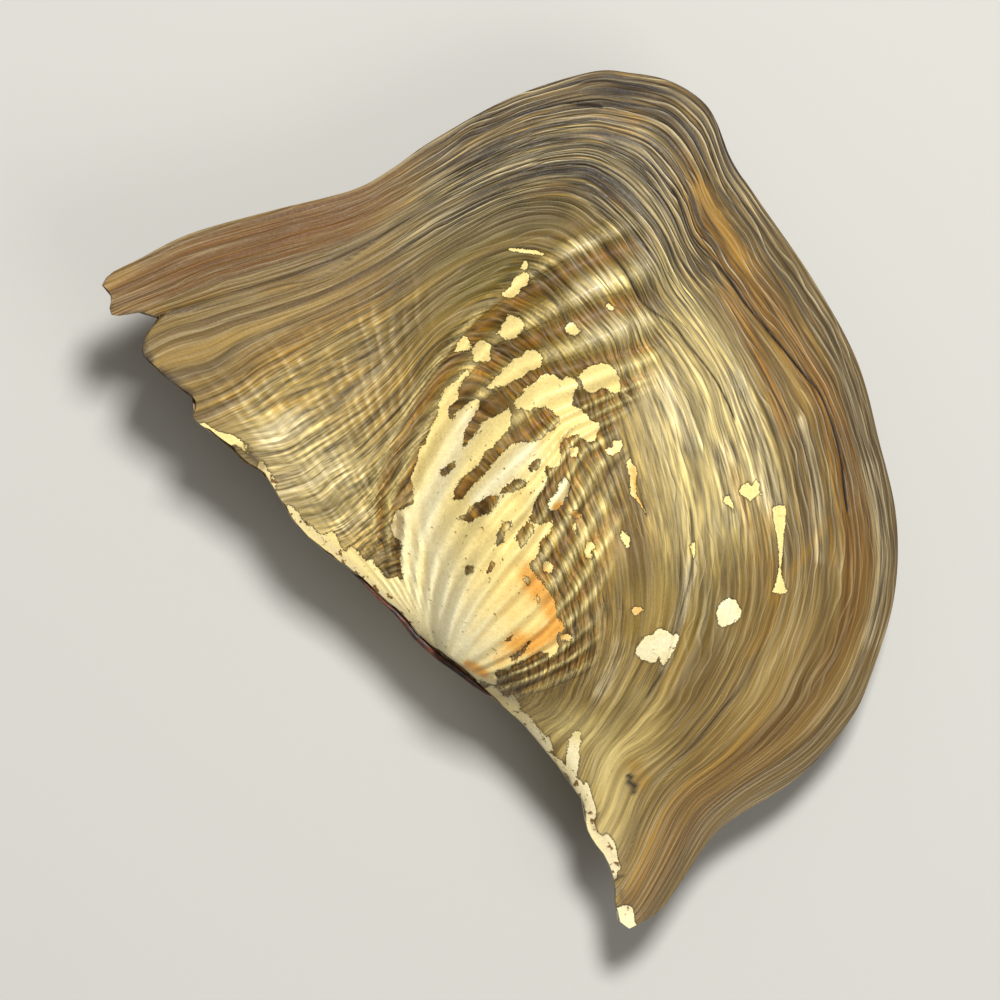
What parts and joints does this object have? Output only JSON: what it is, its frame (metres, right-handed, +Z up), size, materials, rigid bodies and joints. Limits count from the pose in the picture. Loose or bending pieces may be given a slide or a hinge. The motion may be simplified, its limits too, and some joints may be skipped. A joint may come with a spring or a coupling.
{
  "type": "freshwater mussel shell",
  "caption": "Closed shell of a winged, corrugated freshwater mussel: folded, eroded beak, shingled growth ledges, a broken back wing and a horny ligament, lying on one valve.",
  "frame": {"origin": "middle of the box around the shell as it lies, on the surface that it lies on", "axes": "+X along the hinge from the front wing towards the back wing, +Y out over the hinge, away from the lower edge, +Z up, with the left valve on top"},
  "size_m": [0.0904, 0.0642, 0.0267],
  "materials": {
    "left_valve": "silky olive-brown horny skin over shell, worn to cream and pearl at the beak",
    "right_valve": "silky olive-brown horny skin over shell, worn to cream and pearl at the beak",
    "ligament": "dried dark red-brown horn"
  },
  "bodies": {
    "root": {"left_valve": "left_valve", "right_valve": "right_valve", "ligament": "ligament"}
  },
  "joints": []
}
